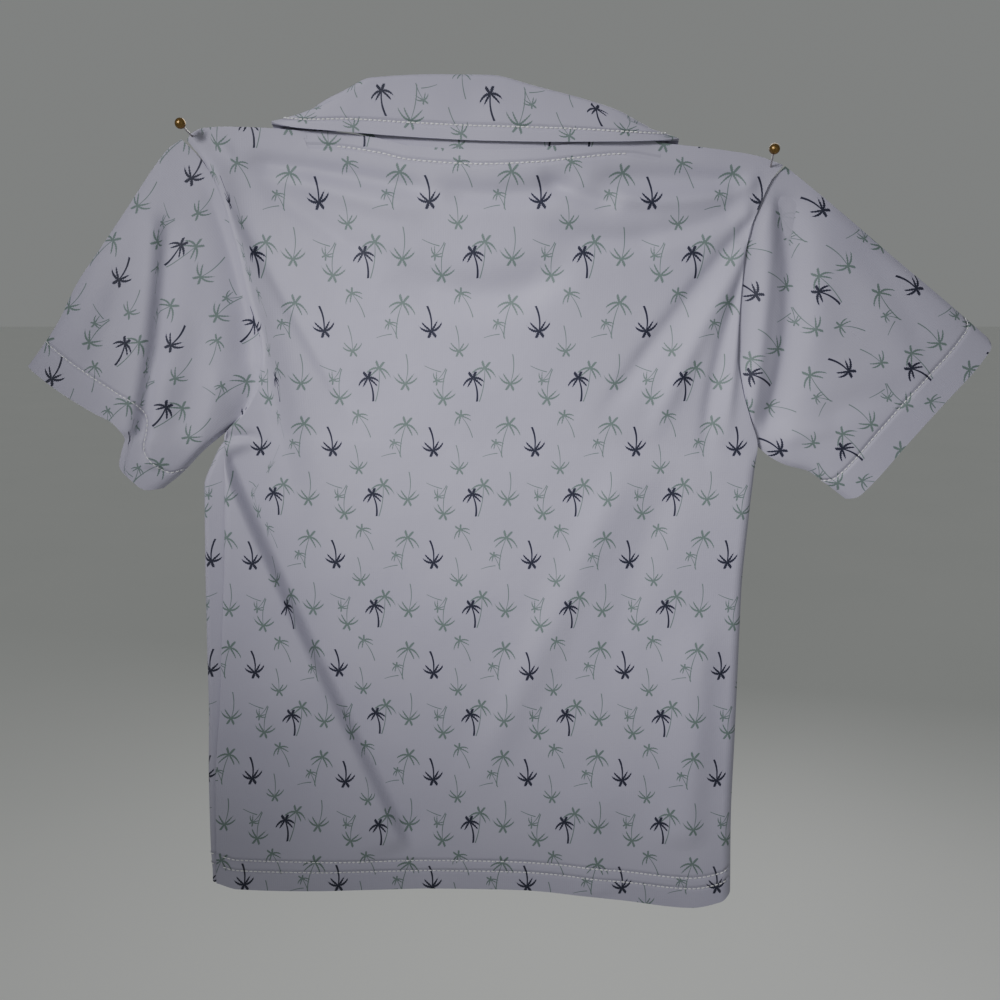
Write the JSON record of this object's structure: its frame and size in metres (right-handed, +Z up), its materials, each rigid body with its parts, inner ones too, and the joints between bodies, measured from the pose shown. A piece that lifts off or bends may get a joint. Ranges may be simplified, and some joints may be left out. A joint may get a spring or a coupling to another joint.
{
  "type": "polo shirt hung on wall pins",
  "caption": "Child's short-sleeved polo shirt with a folded collar and a buttoned front placket, hung flat by its shoulders on ball-head pins.",
  "frame": {"origin": "on the wall plane, midway between the places where the pins enter the cloth at the shoulders", "axes": "+X to the viewer's right, towards the wearer's right sleeve; +Y into the wall; +Z up"},
  "size_m": [0.47, 0.0345, 0.4219],
  "materials": {
    "cloth": "smooth printed interlock knit",
    "button": "polished",
    "pin": "polished"
  },
  "bodies": {
    "root": {"back": "cloth", "front": "cloth", "sleeve_left": "cloth", "sleeve_right": "cloth", "collar": "cloth", "placket_over": "cloth", "placket_under": "cloth", "button_1": "button", "button_2": "button", "button_3": "button", "pin_left": "pin", "pin_right": "pin"}
  },
  "joints": []
}
